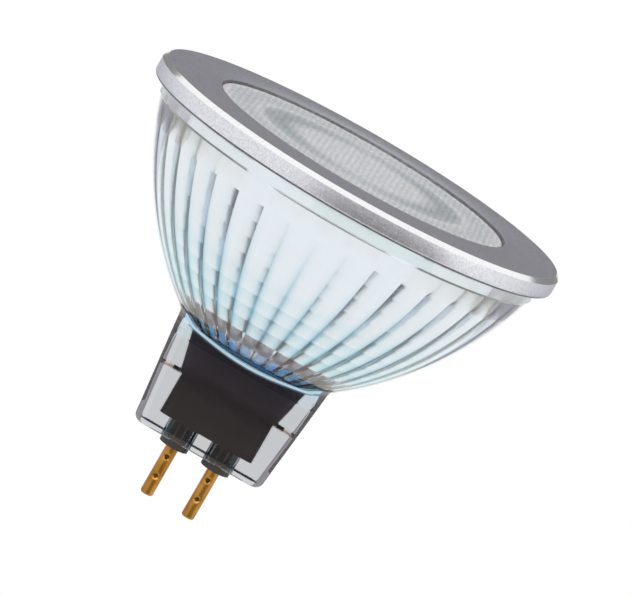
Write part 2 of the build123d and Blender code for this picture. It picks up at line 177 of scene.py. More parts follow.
def made_object(name, mesh, *materials):
    """Object at the origin that holds a finished mesh."""
    in_order(mesh.verts, lambda v: tuple(round(c / MM, 5) for c in v.co))
    in_order(mesh.edges, lambda e: sorted(v.index for v in e.verts))
    in_order(mesh.faces, lambda f: sorted(v.index for v in f.verts))
    data = bpy.data.meshes.new(name)
    mesh.to_mesh(data)
    mesh.free()
    for material in materials:
        data.materials.append(material)
    made = bpy.data.objects.new(name, data)
    bpy.context.scene.collection.objects.link(made)
    return made


def combine(body, other, operation):
    """Joins a second solid to a body, or cuts it out."""
    joint = body.modifiers.new("combine", "BOOLEAN")
    joint.object, joint.operation, joint.solver = other, operation, "EXACT"
    shape = body.evaluated_get(bpy.context.evaluated_depsgraph_get())
    combined = bpy.data.meshes.new_from_object(shape)
    body.modifiers.clear()
    body.data = combined
    bpy.data.objects.remove(other)


def rounded_block(low, high, width, depth, corner, flare_x=0, flare_y=0, foot_round=0, cuts=0):
    """Upright block on the axis with rounded corners, its walls leaning out by the flares.

    The foot's edge can be rounded too, and the long edges of the head cut into short ones.
    """
    rise, middle_z = high - low, (high + low) / 2
    mesh = bmesh.new()
    bmesh.ops.create_cube(mesh, size=1)
    bmesh.ops.scale(mesh, verts=mesh.verts[:], vec=(width, depth, rise))
    bmesh.ops.translate(mesh, verts=mesh.verts[:], vec=(0, 0, middle_z))
    head = [v for v in mesh.verts if v.co.z > middle_z]
    bmesh.ops.scale(mesh, verts=head, vec=(1 + 2 * flare_x * rise / width,
                                           1 + 2 * flare_y * rise / depth, 1))
    uprights = [e for e in mesh.edges if abs(e.verts[0].co.z - e.verts[1].co.z) > rise / 2]
    bmesh.ops.bevel(mesh, geom=uprights, offset=corner, offset_type="OFFSET", affect="EDGES",
                    segments=corner_steps, profile=0.5, material=-1)
    if foot_round:
        foot = [e for e in mesh.edges if max(v.co.z for v in e.verts) < low + touch]
        bmesh.ops.bevel(mesh, geom=foot, offset=foot_round, offset_type="OFFSET", affect="EDGES",
                        segments=foot_steps, profile=0.5, material=-1)
    if cuts:
        long_edges = [e for e in mesh.edges if e.calc_length() > 2 * corner
                      and min(v.co.z for v in e.verts) > high - touch]
        bmesh.ops.subdivide_edges(mesh, edges=long_edges, cuts=cuts)
    bmesh.ops.recalc_face_normals(mesh, faces=mesh.faces[:])
    return mesh


def shader(name):
    """New node material: its nodes, its links and its Principled shader."""
    material = bpy.data.materials.new(name)
    material.use_nodes = True
    tree = material.node_tree
    return material, tree.nodes, tree.links, tree.nodes["Principled BSDF"]


def noise(nodes, links, scale, detail):
    """Noise over the piece's own coordinates; its fine grain has the given number of octaves."""
    place = nodes.new("ShaderNodeTexCoord")
    pattern = nodes.new("ShaderNodeTexNoise")
    pattern.inputs["Scale"].default_value = scale
    pattern.inputs["Detail"].default_value = detail
    links.new(place.outputs["Object"], pattern.inputs["Vector"])
    return pattern.outputs["Fac"]


def relief(nodes, links, surface, height, depth):
    """Raises the surface by a height pattern, to a depth in metres."""
    bump = nodes.new("ShaderNodeBump")
    bump.inputs["Distance"].default_value = depth
    links.new(height, bump.inputs["Height"])
    links.new(bump.outputs["Normal"], surface.inputs["Normal"])


def between(nodes, links, share, low, high, socket):
    """Feeds a socket with a number that follows a pattern between two ends."""
    spread = nodes.new("ShaderNodeMapRange")
    spread.inputs["To Min"].default_value, spread.inputs["To Max"].default_value = low, high
    links.new(share, spread.inputs["Value"])
    links.new(spread.outputs["Result"], socket)


def along_z(nodes, links, low, high):
    """Share of the way up between two heights."""
    place = nodes.new("ShaderNodeTexCoord")
    split = nodes.new("ShaderNodeSeparateXYZ")
    climb = nodes.new("ShaderNodeMapRange")
    climb.inputs["From Min"].default_value, climb.inputs["From Max"].default_value = low, high
    links.new(place.outputs["Object"], split.inputs["Vector"])
    links.new(split.outputs["Z"], climb.inputs["Value"])
    return climb.outputs["Result"]


# The glass has a warm painted shade in the stem and is plain in the bowl, where a thin film gives
# it a sheen; light that stays in it for long comes out teal
glass_index = 1.52
film_index = 1.67
film_nanometres = 322
stem_painted_shade = (0.95, 0.81, 0.76, 1)
bowl_tint = (0.99, 0.99, 1.0, 1)
inner_teal = (0.4, 0.64, 0.76, 1)
teal_density = 75
clear_glass, nodes, links, surface = shader("pressed_glass")
# Painted shade: the stem's glass is drawn warmer and darker than the bowl's
tint = nodes.new("ShaderNodeValToRGB")
tint.color_ramp.elements[0].color = stem_painted_shade
tint.color_ramp.elements[1].color = bowl_tint
tint.color_ramp.elements.new(0.8).color = stem_painted_shade
links.new(along_z(nodes, links, stem_foot, neck_z), tint.inputs["Fac"])
links.new(tint.outputs["Color"], surface.inputs["Base Color"])
surface.inputs["Transmission Weight"].default_value = 1
surface.inputs["IOR"].default_value = glass_index
between(nodes, links, along_z(nodes, links, bowl_floor, neck_z), 0, film_nanometres,
        surface.inputs["Thin Film Thickness"])
surface.inputs["Thin Film IOR"].default_value = film_index
between(nodes, links, noise(nodes, links, 400, 2), 0.0, 0.04, surface.inputs["Roughness"])
relief(nodes, links, surface, noise(nodes, links, 320, 2), 0.02 * MM)
absorb = nodes.new("ShaderNodeVolumeAbsorption")
absorb.inputs["Color"].default_value = inner_teal
absorb.inputs["Density"].default_value = teal_density
links.new(absorb.outputs["Volume"], nodes["Material Output"].inputs["Volume"])

# The mirror coat inside the bowl: its tint, with painted shade, deepens towards the floor and up
# each facet row
chord = Vector((mouth_radius - neck_radius, 0, bowl_height))
to_centre = math.sqrt(bowl_arc ** 2 - (chord.length / 2) ** 2)
arc_r = (mouth_radius + neck_radius) / 2 - to_centre * chord.z / chord.length
arc_z = (mouth_z + neck_z) / 2 + to_centre * chord.x / chord.length
inner_arc = bowl_arc - glass_wall
low_turn = math.asin((cavity_floor - arc_z) / inner_arc)
high_turn = math.asin((flute_top - arc_z) / inner_arc)
coat_white = Vector((0.99, 0.985, 0.98))
coat_pale = Vector((0.8, 0.94, 0.95))
coat_deep = Vector((0.5, 0.82, 0.86))
shaded_rows = 6
white_from = 0.62
coat_with_painted_shade, nodes, links, surface = shader("dichroic_coat_with_painted_shade")
tint = nodes.new("ShaderNodeValToRGB")
tint.color_ramp.elements[1].color = (*coat_white, 1)
# Painted shade: each lower facet row runs from pale at its foot to deep at its top, less so higher
# up
for row in range(shaded_rows):
    for end, colour in ((0.02, coat_pale), (0.98, coat_deep)):
        turn = low_turn + (high_turn - low_turn) * (row + end) / flute_rows
        share = (arc_z + inner_arc * math.sin(turn) - cavity_floor) / (flute_top - cavity_floor)
        stop = tint.color_ramp.elements.new(share)
        stop.color = (*colour.lerp(coat_white, row / shaded_rows), 1)
tint.color_ramp.elements.new(white_from).color = (*coat_white, 1)
tint.color_ramp.elements[0].color = (*coat_pale, 1)
links.new(along_z(nodes, links, cavity_floor, flute_top), tint.inputs["Fac"])

# The painted shade also deepens from the middle of each flute to the ridges beside it, less and
# less upwards
ridge_shade_full = cavity_floor + 3 * MM
ridge_painted_shade = (0.2, 0.54, 0.68, 1)
flank_painted_shade = (0.74, 0.89, 0.935, 1)
place = nodes.new("ShaderNodeTexCoord")
split = nodes.new("ShaderNodeSeparateXYZ")
links.new(place.outputs["Object"], split.inputs["Vector"])
off_middle = nodes.new("ShaderNodeMath")
off_middle.operation = "ARCTAN2"
links.new(split.outputs["Y"], off_middle.inputs[0])
links.new(split.outputs["X"], off_middle.inputs[1])
for operation, numbers in (("MULTIPLY_ADD", (flutes / (2 * math.pi), flutes / 4)), ("FRACT", ()),
                           ("MULTIPLY_ADD", (2, -1)), ("ABSOLUTE", ())):
    step = nodes.new("ShaderNodeMath")
    step.operation = operation
    links.new(off_middle.outputs[0], step.inputs[0])
    for socket, number in enumerate(numbers):
        step.inputs[socket + 1].default_value = number
    off_middle = step
# Painted shade along the flute ridges, white in each flute's middle
flank_shade = nodes.new("ShaderNodeValToRGB")
flank_shade.color_ramp.elements[0].position = 0.4
flank_shade.color_ramp.elements[0].color = (1, 1, 1, 1)
flank_shade.color_ramp.elements[1].color = ridge_painted_shade
flank_shade.color_ramp.elements.new(0.75).color = flank_painted_shade
links.new(off_middle.outputs[0], flank_shade.inputs["Fac"])
ridge_shade_mix = nodes.new("ShaderNodeMix")
ridge_shade_mix.data_type, ridge_shade_mix.blend_type = "RGBA", "MULTIPLY"
between(nodes, links, along_z(nodes, links, ridge_shade_full, flute_top), 1, 0,
        ridge_shade_mix.inputs["Factor"])
links.new(tint.outputs["Color"], ridge_shade_mix.inputs["A"])
links.new(flank_shade.outputs["Color"], ridge_shade_mix.inputs["B"])
links.new(ridge_shade_mix.outputs["Result"], surface.inputs["Base Color"])
surface.inputs["Metallic"].default_value = 1
between(nodes, links, noise(nodes, links, 500, 3), 0.1, 0.2, surface.inputs["Roughness"])

# Painted blue reflection on the round under the bowl, front and back
painted_blue_reflection, nodes, links, surface = shader("painted_blue_reflection_under_bowl")
surface.inputs["Base Color"].default_value = (0.6, 0.85, 1.0, 1)
surface.inputs["Metallic"].default_value = 0.7
surface.inputs["Transmission Weight"].default_value = 1
surface.inputs["IOR"].default_value = glass_index
between(nodes, links, noise(nodes, links, 500, 2), 0.06, 0.16, surface.inputs["Roughness"])

# Clear compound wets the pocket's walls, so that they hardly reflect or bend light
potted_index = 1.01
potted_glass, nodes, links, surface = shader("potted_glass")
surface.inputs["Base Color"].default_value = (0.9, 0.88, 0.9, 1)
surface.inputs["Transmission Weight"].default_value = 1
surface.inputs["IOR"].default_value = potted_index
between(nodes, links, noise(nodes, links, 400, 2), 0.0, 0.04, surface.inputs["Roughness"])

bowl = bmesh.new()
floor_slope = floor_rise / (neck_radius - stem_depth / 2)
tip = start_line(bowl, 0, bowl_floor - floor_slope * stem_depth / 2)
tip = line_to(bowl, tip, neck_radius, neck_z)
tip = arc_to(bowl, tip, mouth_radius, mouth_z, bowl_arc, bowl_arc_steps)
tip = line_to(bowl, tip, rim_radius, mouth_z + rim_step)
tip = line_to(bowl, tip, rim_radius, rim_top)
line_to(bowl, tip, 0, rim_top)
turn_round(bowl, flutes * flute_steps)
glass_finishes = (clear_glass, coat_with_painted_shade, painted_blue_reflection, potted_glass)
glass = made_object("bowl_glass", bowl, *glass_finishes)


def underside(radius):
    """Height of the bowl's outer face at a radius."""
    if radius > neck_radius:
        return arc_z - math.sqrt(bowl_arc ** 2 - (radius - arc_r) ** 2)
    return neck_z - floor_slope * (neck_radius - radius)


# The stem's walls run up and curl outwards under the bowl, so that the two meet in a small round
straight_top = bowl_floor - 2 * junction_round
stem_rise = bowl_floor - stem_foot
stem = rounded_block(stem_foot, straight_top, stem_width - 2 * stem_draft * stem_rise,
                     stem_depth - 2 * stem_face_draft * stem_rise, stem_corner,
                     stem_draft, stem_face_draft, stem_foot_round, stem_top_cuts)
top = max(stem.faces, key=lambda face: face.calc_center_median().z)
flat_x = max(v.co.x for v in top.verts) - stem_corner
flat_y = max(v.co.y for v in top.verts) - stem_corner
walls = {}
for v in top.verts:
    outward = Vector((math.copysign(max(abs(v.co.x) - flat_x, 0), v.co.x),
                      math.copysign(max(abs(v.co.y) - flat_y, 0), v.co.y), 0)).normalized()
    walls[v] = (v.co.copy(), outward)
for level in range(round_steps + 2):
    raised = bmesh.ops.extrude_face_region(stem, geom=[top])["geom"]
    top = [g for g in raised if isinstance(g, bmesh.types.BMFace)][0]
    below, walls = walls, {}
    for v in top.verts:
        old = [e.other_vert(v) for e in v.link_edges if e.other_vert(v) in below][0]
        walls[v] = place, outward = below[old]
        drift = Vector((outward.x * stem_draft, outward.y * stem_face_draft, 0))
        turn = math.pi / 2 * min(level, round_steps) / round_steps
        start = underside(place.xy.length) - junction_round
        end = underside((place + outward * junction_round).xy.length) + junction_sink
        v.co = place + drift * (start - place.z) + outward * junction_round * (1 - math.cos(turn))
        v.co.z = start + (end - start) * math.sin(turn)
        if level > round_steps:
            v.co -= outward * cap_inset
            v.co.z += junction_cap
    if 0 < level <= round_steps:
        for v in top.verts:
            for face in v.link_faces:
                # Painted blue reflection, on the front and back only
                if face is not top and abs(walls[v][1].y) > 0.9:
                    face.material_index = glass_finishes.index(painted_blue_reflection)
bmesh.ops.recalc_face_normals(stem, faces=stem.faces[:])
combine(glass, made_object("stem", stem, *glass_finishes), "UNION")


def inner_reach(z):
    """Radius of the bowl's inside at a height, midway between flute crowns and ridges."""
    return arc_r + math.sqrt(inner_arc ** 2 - (z - arc_z) ** 2)


# The cavity's rows follow the inner arc; the spun rings are then pushed in and out into flutes
band_low_radius = inner_reach(flute_top) + flute_depth / 2
band_high_radius = rebate_radius - lens_ledge
cavity = bmesh.new()
tip = start_line(cavity, 0, cavity_floor)
tip = line_to(cavity, tip, inner_reach(cavity_floor), cavity_floor)
tip = arc_to(cavity, tip, inner_reach(flute_top), flute_top, inner_arc, flute_rows)
tip = line_to(cavity, tip, band_low_radius, flute_top + arch_rise / 2)
tip = line_to(cavity, tip, band_high_radius, lens_seat)
tip = line_to(cavity, tip, rebate_radius, lens_seat)
tip = line_to(cavity, tip, rebate_radius, rim_top + open_end)
line_to(cavity, tip, 0, rim_top + open_end)
turn_round(cavity, flutes * flute_steps)
for v in cavity.verts:
    reach = math.hypot(v.co.x, v.co.y)
    if reach < neck_radius / 4 or v.co.z > coat_top:
        continue
    across = (math.atan2(v.co.y, v.co.x) + math.pi / 2) * flutes / (2 * math.pi) % 1
    crown = 1 - (2 * across - 1) ** 2
    if v.co.z > arch_foot:
        v.co.z = arch_foot + arch_rise * math.sqrt(crown)
        share = (v.co.z - flute_top) / (lens_seat - flute_top)
        v_reach = band_low_radius + (band_high_radius - band_low_radius) * share
    else:
        v_reach = reach - flute_depth * (crown - 0.5)
    v.co.x *= v_reach / reach
    v.co.y *= v_reach / reach
for edge in cavity.edges:
    low, high = sorted(v.co.z for v in edge.verts)
    if high - low < touch and high < (flute_top + arch_foot) / 2:
        edge.smooth = False
for face in cavity.faces:
    coated = cavity_floor + bare_foot < face.calc_center_median().z < coat_top
    face.material_index = glass_finishes.index(coat_with_painted_shade if coated else clear_glass)
combine(glass, made_object("cavity", cavity, *glass_finishes), "DIFFERENCE")

# The pocket for the driver: a well, a funnel above it, a slot for the lugs and two pin holes
well = rounded_block(pocket_floor, pocket_ledge + 2 * touch, pocket_width, pocket_depth,
                     pocket_corner)
funnel = rounded_block(pocket_ledge, pocket_top, pocket_width + 2 * ledge_width, pocket_depth,
                       pocket_corner, funnel_flare, funnel_face_flare)
for name, cutter in (("well", well), ("funnel", funnel)):
    for face in cutter.faces:
        face.material_index = glass_finishes.index(potted_glass)
    combine(glass, made_object(name, cutter, *glass_finishes), "DIFFERENCE")
notch = rounded_block(pocket_ledge - notch_height / 2, pocket_ledge + notch_height / 2,
                      pocket_width + 2 * notch_depth, notch_width, notch_corner)
combine(glass, made_object("notch", notch), "DIFFERENCE")
hole_top = pocket_floor + 0.1 * MM
for side in (-1, 1):
    hole = bmesh.new()
    bmesh.ops.create_cone(hole, cap_ends=True, segments=pin_hole_steps, depth=hole_top,
                          radius1=pin_hole_radius, radius2=pin_hole_radius,
                          matrix=Matrix.Translation((side * pin_spacing / 2, 0, hole_top / 2)))
    combine(glass, made_object("pin_hole", hole), "DIFFERENCE")

finish = bmesh.new()
finish.from_mesh(glass.data)
bmesh.ops.remove_doubles(finish, verts=finish.verts[:], dist=2 * weld)
crease(finish, 24)
finish.to_mesh(glass.data)
finish.free()

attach(glass, "root")
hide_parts("glass_reflector")

# Contact pins: two drawn brass pins, pressed into the driver housing's collars.
# Each is dented twice from the front, where the tool staked it onto the driver's lead.

pin_low, pin_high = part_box("contact_pin_left")
pin_radius = pin_high.y
pin_tail_radius = 0.65 * MM
pin_tip_round = 0.25 * MM
pin_tip_steps = 4
pin_steps = 64
shank_steps = 56
dent_radius = 0.45 * MM
dent_depth = 0.28 * MM
dent_places = (0.21, 0.61)
dent_shade_radius = 0.6 * dent_radius


def two_tone(nodes, links, pattern, dark, light, start=0.3, end=0.7):
    """Colour that goes from dark to light along a stretch of a pattern."""
    tone = nodes.new("ShaderNodeValToRGB")
    first, last = tone.color_ramp.elements
    first.position, last.position = start, end
    first.color, last.color = (*dark, 1), (*light, 1)
    links.new(pattern, tone.inputs["Fac"])
    return tone.outputs["Color"]


def mottled(name, dark, light, scale, smooth, rough, depth, metallic=0.0):
    """Finish whose colour, gloss and relief wander a little, at one grain size."""
    material, nodes, links, surface = shader(name)
    surface.inputs["Metallic"].default_value = metallic
    grain = noise(nodes, links, scale, 4)
    links.new(two_tone(nodes, links, grain, dark, light), surface.inputs["Base Color"])
    between(nodes, links, grain, smooth, rough, surface.inputs["Roughness"])
    relief(nodes, links, surface, grain, depth)
    return material


# Painted shade in the dents: a near-black brass for the faces at their middles
dent_painted_shade = mottled("dent_painted_shade", (0.05, 0.02, 0.005), (0.14, 0.06, 0.012),
                     2500, 0.5, 0.7, 0.005 * MM, metallic=0.6)
brass, nodes, links, surface = shader("drawn_brass")
surface.inputs["Metallic"].default_value = 1
tarnish = noise(nodes, links, 350, 2)
tone = two_tone(nodes, links, tarnish, (0.36, 0.165, 0.028), (0.6, 0.3, 0.06), 0.35, 0.65)
links.new(tone, surface.inputs["Base Color"])
between(nodes, links, tarnish, 0.3, 0.42, surface.inputs["Roughness"])
relief(nodes, links, surface, noise(nodes, links, 1500, 2), 0.003 * MM)

for side, node in ((-1, "contact_pin_left"), (1, "contact_pin_right")):
    pin = bmesh.new()
    tip = start_line(pin, 0, pin_low.z)
    tip = line_to(pin, tip, pin_radius - pin_tip_round, pin_low.z)
    tip = arc_to(pin, tip, pin_radius, pin_low.z + pin_tip_round, pin_tip_round,
                 pin_tip_steps)
    for step in range(1, shank_steps + 1):
        tip = line_to(pin, tip, pin_radius, (pin_low.z + pin_tip_round) * (1 - step / shank_steps))
    tip = line_to(pin, tip, pin_tail_radius, 0)
    tip = line_to(pin, tip, pin_tail_radius, pin_high.z)
    line_to(pin, tip, 0, pin_high.z)
    turn_round(pin, pin_steps)
    for v in pin.verts:
        for share in dent_places:
            away = math.hypot(v.co.x, v.co.z - share * pin_low.z) / dent_radius
            if v.co.y < 0 and away < 1:
                v.co.y += dent_depth * (1 - away)
    bmesh.ops.translate(pin, verts=pin.verts[:], vec=(side * pin_spacing / 2, 0, 0))
    crease(pin, 35)
    # Faces at the middle of each dent get the painted shade
    for face in pin.faces:
        spot = face.calc_center_median()
        off_axis = spot.x - side * pin_spacing / 2
        if spot.y < 0 and any(math.hypot(off_axis, spot.z - share * pin_low.z) < dent_shade_radius
                              for share in dent_places):
            face.material_index = 1
    made = made_object(node.replace("contact", "brass"), pin, brass, dent_painted_shade)
    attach(made, "root")
    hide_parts(node)

# Driver housing and its lid: dark moulded plastic that fills the stem's pocket.
# The collars under it carry the pins through the foot of the glass, a lug at each side snaps into
# a notch in the glass, and the lid caps the capacitor.


def dress(node, material):
    """Gives a CAD node one finish all over."""
    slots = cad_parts[node].data.materials
    slots.clear()
    slots.append(material)


housing_low, housing_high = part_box("driver_housing")
plastic, nodes, links, surface = shader("housing_plastic")
surface.inputs["Specular IOR Level"].default_value = 0.25
moulding = noise(nodes, links, 700, 4)
# Painted light and shade by height: lighter low down, a dark band above the middle, bluish at the
# top
climb = nodes.new("ShaderNodeMath")
climb.operation = "MULTIPLY_ADD"
links.new(moulding, climb.inputs[0])
climb.inputs[1].default_value = 0.1
links.new(along_z(nodes, links, housing_low.z, housing_high.z), climb.inputs[2])
tone = nodes.new("ShaderNodeValToRGB")
for share, colour in ((0.25, (0.1, 0.087, 0.08)), (0.5, (0.085, 0.068, 0.072)),
                      (0.6, (0.05, 0.034, 0.04)), (0.68, (0.085, 0.07, 0.09))):
    tone.color_ramp.elements.new(share).color = (*colour, 1)
tone.color_ramp.elements[0].color = (0.08, 0.077, 0.08, 1)
tone.color_ramp.elements[-1].color = (0.08, 0.076, 0.12, 1)
links.new(climb.outputs[0], tone.inputs["Fac"])
links.new(tone.outputs["Color"], surface.inputs["Base Color"])
between(nodes, links, moulding, 0.4, 0.55, surface.inputs["Roughness"])
relief(nodes, links, surface, moulding, 0.01 * MM)
dress("driver_housing", plastic)
dress("housing_lid", mottled("lid_plastic", (0.02, 0.02, 0.022), (0.032, 0.032, 0.034),
                             1500, 0.45, 0.6, 0.01 * MM))

# Driver: a green board that stands in the housing with its parts soldered to its faces.
# The electrolytic can stands on top, and two insulated leads go up to the light source.

dress("driver_board", mottled("solder_mask", (0.012, 0.09, 0.03), (0.02, 0.14, 0.05),
                              900, 0.25, 0.4, 0.01 * MM))
dress("bridge_rectifier", mottled("rectifier_moulding", (0.015, 0.015, 0.016), (0.03, 0.03, 0.03),
                                  2500, 0.4, 0.6, 0.008 * MM))
dress("controller_chip", mottled("chip_moulding", (0.012, 0.012, 0.013), (0.022, 0.022, 0.024),
                                 3500, 0.35, 0.5, 0.005 * MM))
dress("power_inductor", mottled("ferrite", (0.035, 0.035, 0.038), (0.07, 0.068, 0.066),
                                1800, 0.5, 0.7, 0.015 * MM))
dress("ceramic_capacitor", mottled("tan_ceramic", (0.32, 0.2, 0.09), (0.42, 0.28, 0.14),
                                   2200, 0.3, 0.5, 0.005 * MM))
dress("sense_resistors", mottled("resistor_glaze", (0.01, 0.01, 0.012), (0.03, 0.03, 0.035),
                                 3000, 0.2, 0.4, 0.004 * MM))
dress("smoothing_capacitor", mottled("can_sleeve", (0.5, 0.5, 0.52), (0.62, 0.62, 0.64),
                                     1200, 0.25, 0.4, 0.006 * MM, metallic=1.0))
dress("positive_lead", mottled("red_insulation", (0.4, 0.015, 0.012), (0.55, 0.03, 0.02),
                               1000, 0.35, 0.5, 0.01 * MM))
dress("negative_lead", mottled("black_insulation", (0.012, 0.012, 0.012), (0.025, 0.025, 0.025),
                               1000, 0.35, 0.5, 0.01 * MM))

# Base gasket: a blue insulating ring cut from sheet, laid on the bowl's floor.
# It keeps the metal cup off the glass and the driver, and shows as a strip at the bottom.

dress("base_gasket", mottled("blue_insulation", (0.03, 0.4, 0.9), (0.06, 0.52, 1.0),
                             600, 0.3, 0.45, 0.02 * MM))

# Heat sink: a spun aluminium cup that lines the bowl, painted white but for its lower edge.
# A grey pad carries the heat from the light source's board into its floor.

sink_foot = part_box("heat_sink")[0].z
bare_edge = 1.2 * MM
paint_fade = 0.18 * MM
paint, nodes, links, surface = shader("white_painted_aluminium")
paint_foot = sink_foot + bare_edge
painted = along_z(nodes, links, paint_foot, paint_foot + paint_fade)
brushed = noise(nodes, links, 1600, 5)
bare = two_tone(nodes, links, brushed, (0.2, 0.21, 0.22), (0.5, 0.52, 0.54), 0, 1)
coat = nodes.new("ShaderNodeMix")
coat.data_type = "RGBA"
links.new(painted, coat.inputs["Factor"])
links.new(bare, coat.inputs["A"])
coat.inputs["B"].default_value = (0.93, 0.94, 0.95, 1)
links.new(coat.outputs["Result"], surface.inputs["Base Color"])
between(nodes, links, painted, 1.0, 0.0, surface.inputs["Metallic"])
between(nodes, links, brushed, 0.3, 0.5, surface.inputs["Roughness"])
relief(nodes, links, surface, brushed, 0.01 * MM)
dress("heat_sink", paint)
dress("thermal_pad", mottled("grey_pad", (0.22, 0.23, 0.25), (0.3, 0.31, 0.33),
                             800, 0.6, 0.8, 0.02 * MM))

# Light source: a yellow phosphor package on a round aluminium board with a white mask.
# Two steel screws hold the board down on the pad and the cup's floor.

dress("led_board", mottled("white_mask", (0.72, 0.72, 0.7), (0.8, 0.8, 0.78),
                           900, 0.35, 0.5, 0.006 * MM))
dress("led_package", mottled("phosphor_gel", (0.7, 0.5, 0.08), (0.85, 0.64, 0.14),
                             1400, 0.15, 0.3, 0.01 * MM))
dress("board_screws", mottled("screw_steel", (0.4, 0.4, 0.42), (0.58, 0.58, 0.6),
                              2000, 0.25, 0.4, 0.006 * MM, metallic=1.0))

# Front lens: moulded clear acrylic, a plate held under the ring with a collimator cone below.
# Its face is a field of tiny lenslets that spread the beam, inside a plain border.

lens_low, lens_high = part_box("front_lens")
flange_radius = lens_high.x
flange_top = rim_top + 0.2 * MM
face_radius = 17.9 * MM
collimator_top = 12.2 * MM
collimator_foot = 4.7 * MM
collimator_arc = 25.0 * MM
well_radius = 3.6 * MM
well_top = lens_low.z + 3.4 * MM
well_crown = 0.9 * MM
well_arc = 7.65 * MM
well_steps = 8
collimator_steps = 16
turned_steps = 180
acrylic_index = 1.49

lens_mesh = bmesh.new()
tip = start_line(lens_mesh, 0, well_top - well_crown)
tip = arc_to(lens_mesh, tip, well_radius, well_top, well_arc, well_steps)
tip = line_to(lens_mesh, tip, well_radius, lens_low.z)
tip = line_to(lens_mesh, tip, collimator_foot, lens_low.z)
tip = arc_to(lens_mesh, tip, collimator_top, lens_seat, collimator_arc, collimator_steps)
tip = line_to(lens_mesh, tip, flange_radius, lens_seat)
tip = line_to(lens_mesh, tip, flange_radius, flange_top)
tip = line_to(lens_mesh, tip, face_radius, flange_top)
tip = line_to(lens_mesh, tip, face_radius, lens_high.z)
line_to(lens_mesh, tip, 0, lens_high.z)
turn_round(lens_mesh, turned_steps)
crease(lens_mesh, 25)

acrylic, nodes, links, surface = shader("lens_acrylic")
surface.inputs["Transmission Weight"].default_value = 0.1
surface.inputs["IOR"].default_value = acrylic_index
surface.inputs["Specular IOR Level"].default_value = 0.2
between(nodes, links, noise(nodes, links, 1200, 3), 0.12, 0.24, surface.inputs["Roughness"])

# Lenslets, raised in the middle by the bump, with painted shade between them
place = nodes.new("ShaderNodeTexCoord")
lenslets = nodes.new("ShaderNodeTexVoronoi")
lenslets.inputs["Scale"].default_value = 1500
lenslets.inputs["Randomness"].default_value = 0.4
links.new(place.outputs["Object"], lenslets.inputs["Vector"])
relief(nodes, links, surface, lenslets.outputs["Distance"], 0.3 * MM)
lenslet_shade = nodes.new("ShaderNodeMapRange")
lenslet_shade.inputs["From Max"].default_value = 0.6
lenslet_shade.inputs["To Min"].default_value, lenslet_shade.inputs["To Max"].default_value = 1.0, 0.76
links.new(lenslets.outputs["Distance"], lenslet_shade.inputs["Value"])

# Painted light and shade of the collimator's circle, as seen through the plate
split = nodes.new("ShaderNodeSeparateXYZ")
flat = nodes.new("ShaderNodeCombineXYZ")
reach = nodes.new("ShaderNodeVectorMath")
reach.operation = "LENGTH"
links.new(place.outputs["Object"], split.inputs["Vector"])
links.new(split.outputs["X"], flat.inputs["X"])
links.new(split.outputs["Y"], flat.inputs["Y"])
links.new(flat.outputs["Vector"], reach.inputs[0])
spread = nodes.new("ShaderNodeMapRange")
spread.inputs["From Max"].default_value = face_radius
links.new(reach.outputs["Value"], spread.inputs["Value"])
circle = nodes.new("ShaderNodeValToRGB")
circle.color_ramp.elements[0].color = (0.96, 0.97, 1.0, 1)
circle.color_ramp.elements[1].color = (1, 1, 1, 1)
for share, colour in ((0.42, (0.95, 0.96, 0.99)), (0.56, (0.5, 0.55, 0.58)),
                      (0.68, (0.6, 0.64, 0.67)), (0.73, (0.92, 0.94, 0.97)),
                      (0.82, (0.78, 0.81, 0.85)), (0.94, (0.84, 0.87, 0.9)), (0.965, (1, 1, 1))):
    circle.color_ramp.elements.new(share).color = (*colour, 1)
links.new(spread.outputs["Result"], circle.inputs["Fac"])

# The painted circle fades towards the front and the back, where the plate only shows its gloss
lean = nodes.new("ShaderNodeMath")
lean.operation = "DIVIDE"
links.new(split.outputs["X"], lean.inputs[0])
links.new(reach.outputs["Value"], lean.inputs[1])
ends = nodes.new("ShaderNodeMath")
ends.operation = "ABSOLUTE"
links.new(lean.outputs[0], ends.inputs[0])
patch = nodes.new("ShaderNodeMix")
patch.data_type = "RGBA"
between(nodes, links, ends.outputs[0], 0.3, 1.0, patch.inputs["Factor"])
patch.inputs["A"].default_value = (0.93, 0.95, 0.98, 1)
links.new(circle.outputs["Color"], patch.inputs["B"])
shade = nodes.new("ShaderNodeMix")
shade.data_type, shade.blend_type = "RGBA", "MULTIPLY"
shade.inputs["Factor"].default_value = 1
links.new(patch.outputs["Result"], shade.inputs["A"])
links.new(lenslet_shade.outputs["Result"], shade.inputs["B"])
links.new(shade.outputs["Result"], surface.inputs["Base Color"])
lens = made_object("moulded_lens", lens_mesh, acrylic)
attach(lens, "root")
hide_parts("front_lens")

# Trim ring: turned from aluminium, a face plate round the lens and a skirt over the glass rim.
# Blasted to a fine grain and left bare; a bead of clear silicone under it holds it to the rim.

dress("rim_adhesive", mottled("clear_silicone", (0.7, 0.72, 0.72), (0.8, 0.82, 0.82),
                              900, 0.25, 0.4, 0.01 * MM))
ring_low, ring_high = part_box("trim_ring")
ring_radius = ring_high.x
ring_skirt = 1.3 * MM
ring_opening = ring_radius - 7.35 * MM
ring_plate = 1.0 * MM
ring_top_bevel = 0.5 * MM
ring_foot_round = 0.45 * MM
ring_break = 0.12 * MM

ring_mesh = bmesh.new()
plate_under = ring_high.z - ring_plate
first = start_line(ring_mesh, ring_opening, plate_under)
tip = line_to(ring_mesh, first, ring_opening, ring_high.z)
tip = line_to(ring_mesh, tip, ring_radius, ring_high.z)
tip = line_to(ring_mesh, tip, ring_radius, ring_low.z)
tip = line_to(ring_mesh, tip, ring_radius - ring_skirt, ring_low.z)
tip = line_to(ring_mesh, tip, ring_radius - ring_skirt, plate_under)
bmesh.ops.contextual_create(ring_mesh, geom=[tip, first])
turn_round(ring_mesh, turned_steps)


